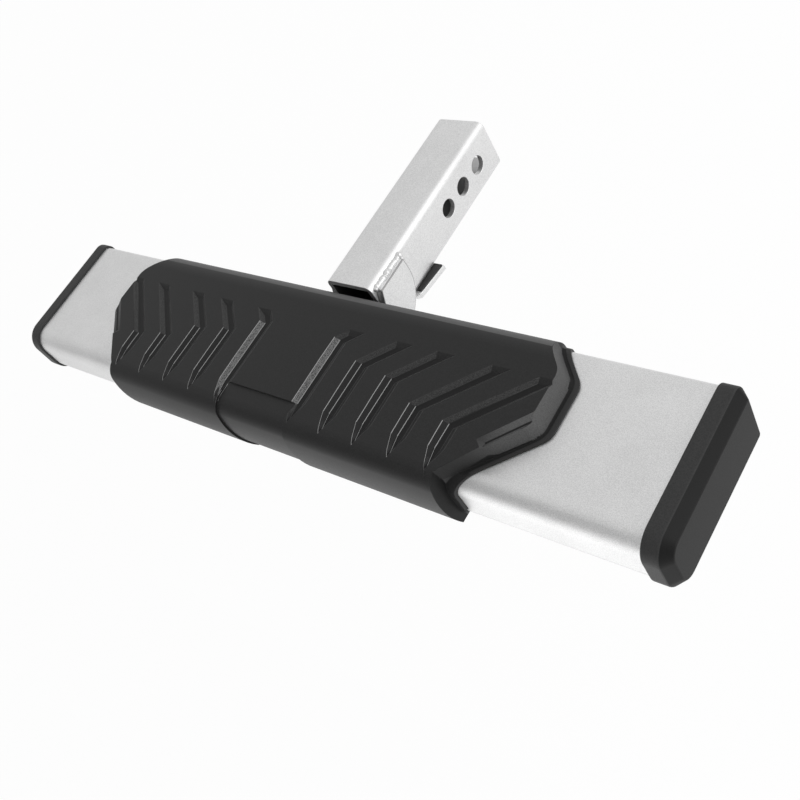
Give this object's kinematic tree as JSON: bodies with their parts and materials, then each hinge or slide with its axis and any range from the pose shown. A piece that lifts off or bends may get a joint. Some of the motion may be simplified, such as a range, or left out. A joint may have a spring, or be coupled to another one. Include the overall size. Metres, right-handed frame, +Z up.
{
  "type": "hitch receiver step",
  "caption": "Bumper step for a square trailer hitch receiver: a silver rectangular tube with black end caps and a moulded tread pad, on a draw tube with pin holes.",
  "frame": {"origin": "centre of the middle pin hole, in the middle of the draw tube's section", "axes": "+X along the pin holes and the step, +Y into the receiver, +Z up"},
  "size_m": [0.694, 0.3346, 0.0833],
  "materials": {
    "silver_coat": "silver coat with a fine bead-blasted grain",
    "weld_silver": "bright coated weld bead",
    "pad_black": "black moulded thermoplastic, fine grain",
    "cap_black": "black moulded plastic, fine texture",
    "strip_black": "dull black",
    "zinc_steel": "zinc plated"
  },
  "bodies": {
    "root": {"draw_tube": "silver_coat", "step_tube": "silver_coat", "left_end_cap": "cap_black", "right_end_cap": "cap_black", "step_pad": "pad_black", "pad_screws": "zinc_steel", "base_plate": "silver_coat", "left_gusset": "silver_coat", "right_gusset": "silver_coat", "left_gusset_weld": "weld_silver", "right_gusset_weld": "weld_silver", "left_foot_weld": "weld_silver", "right_foot_weld": "weld_silver", "stop_tab": "silver_coat", "stop_tab_welds": "weld_silver", "left_tab_strip": "strip_black", "right_tab_strip": "strip_black", "flat_washers": "zinc_steel", "spring_washers": "zinc_steel", "bracket_bolts": "zinc_steel", "left_nut_plate": "zinc_steel", "right_nut_plate": "zinc_steel"}
  },
  "joints": []
}
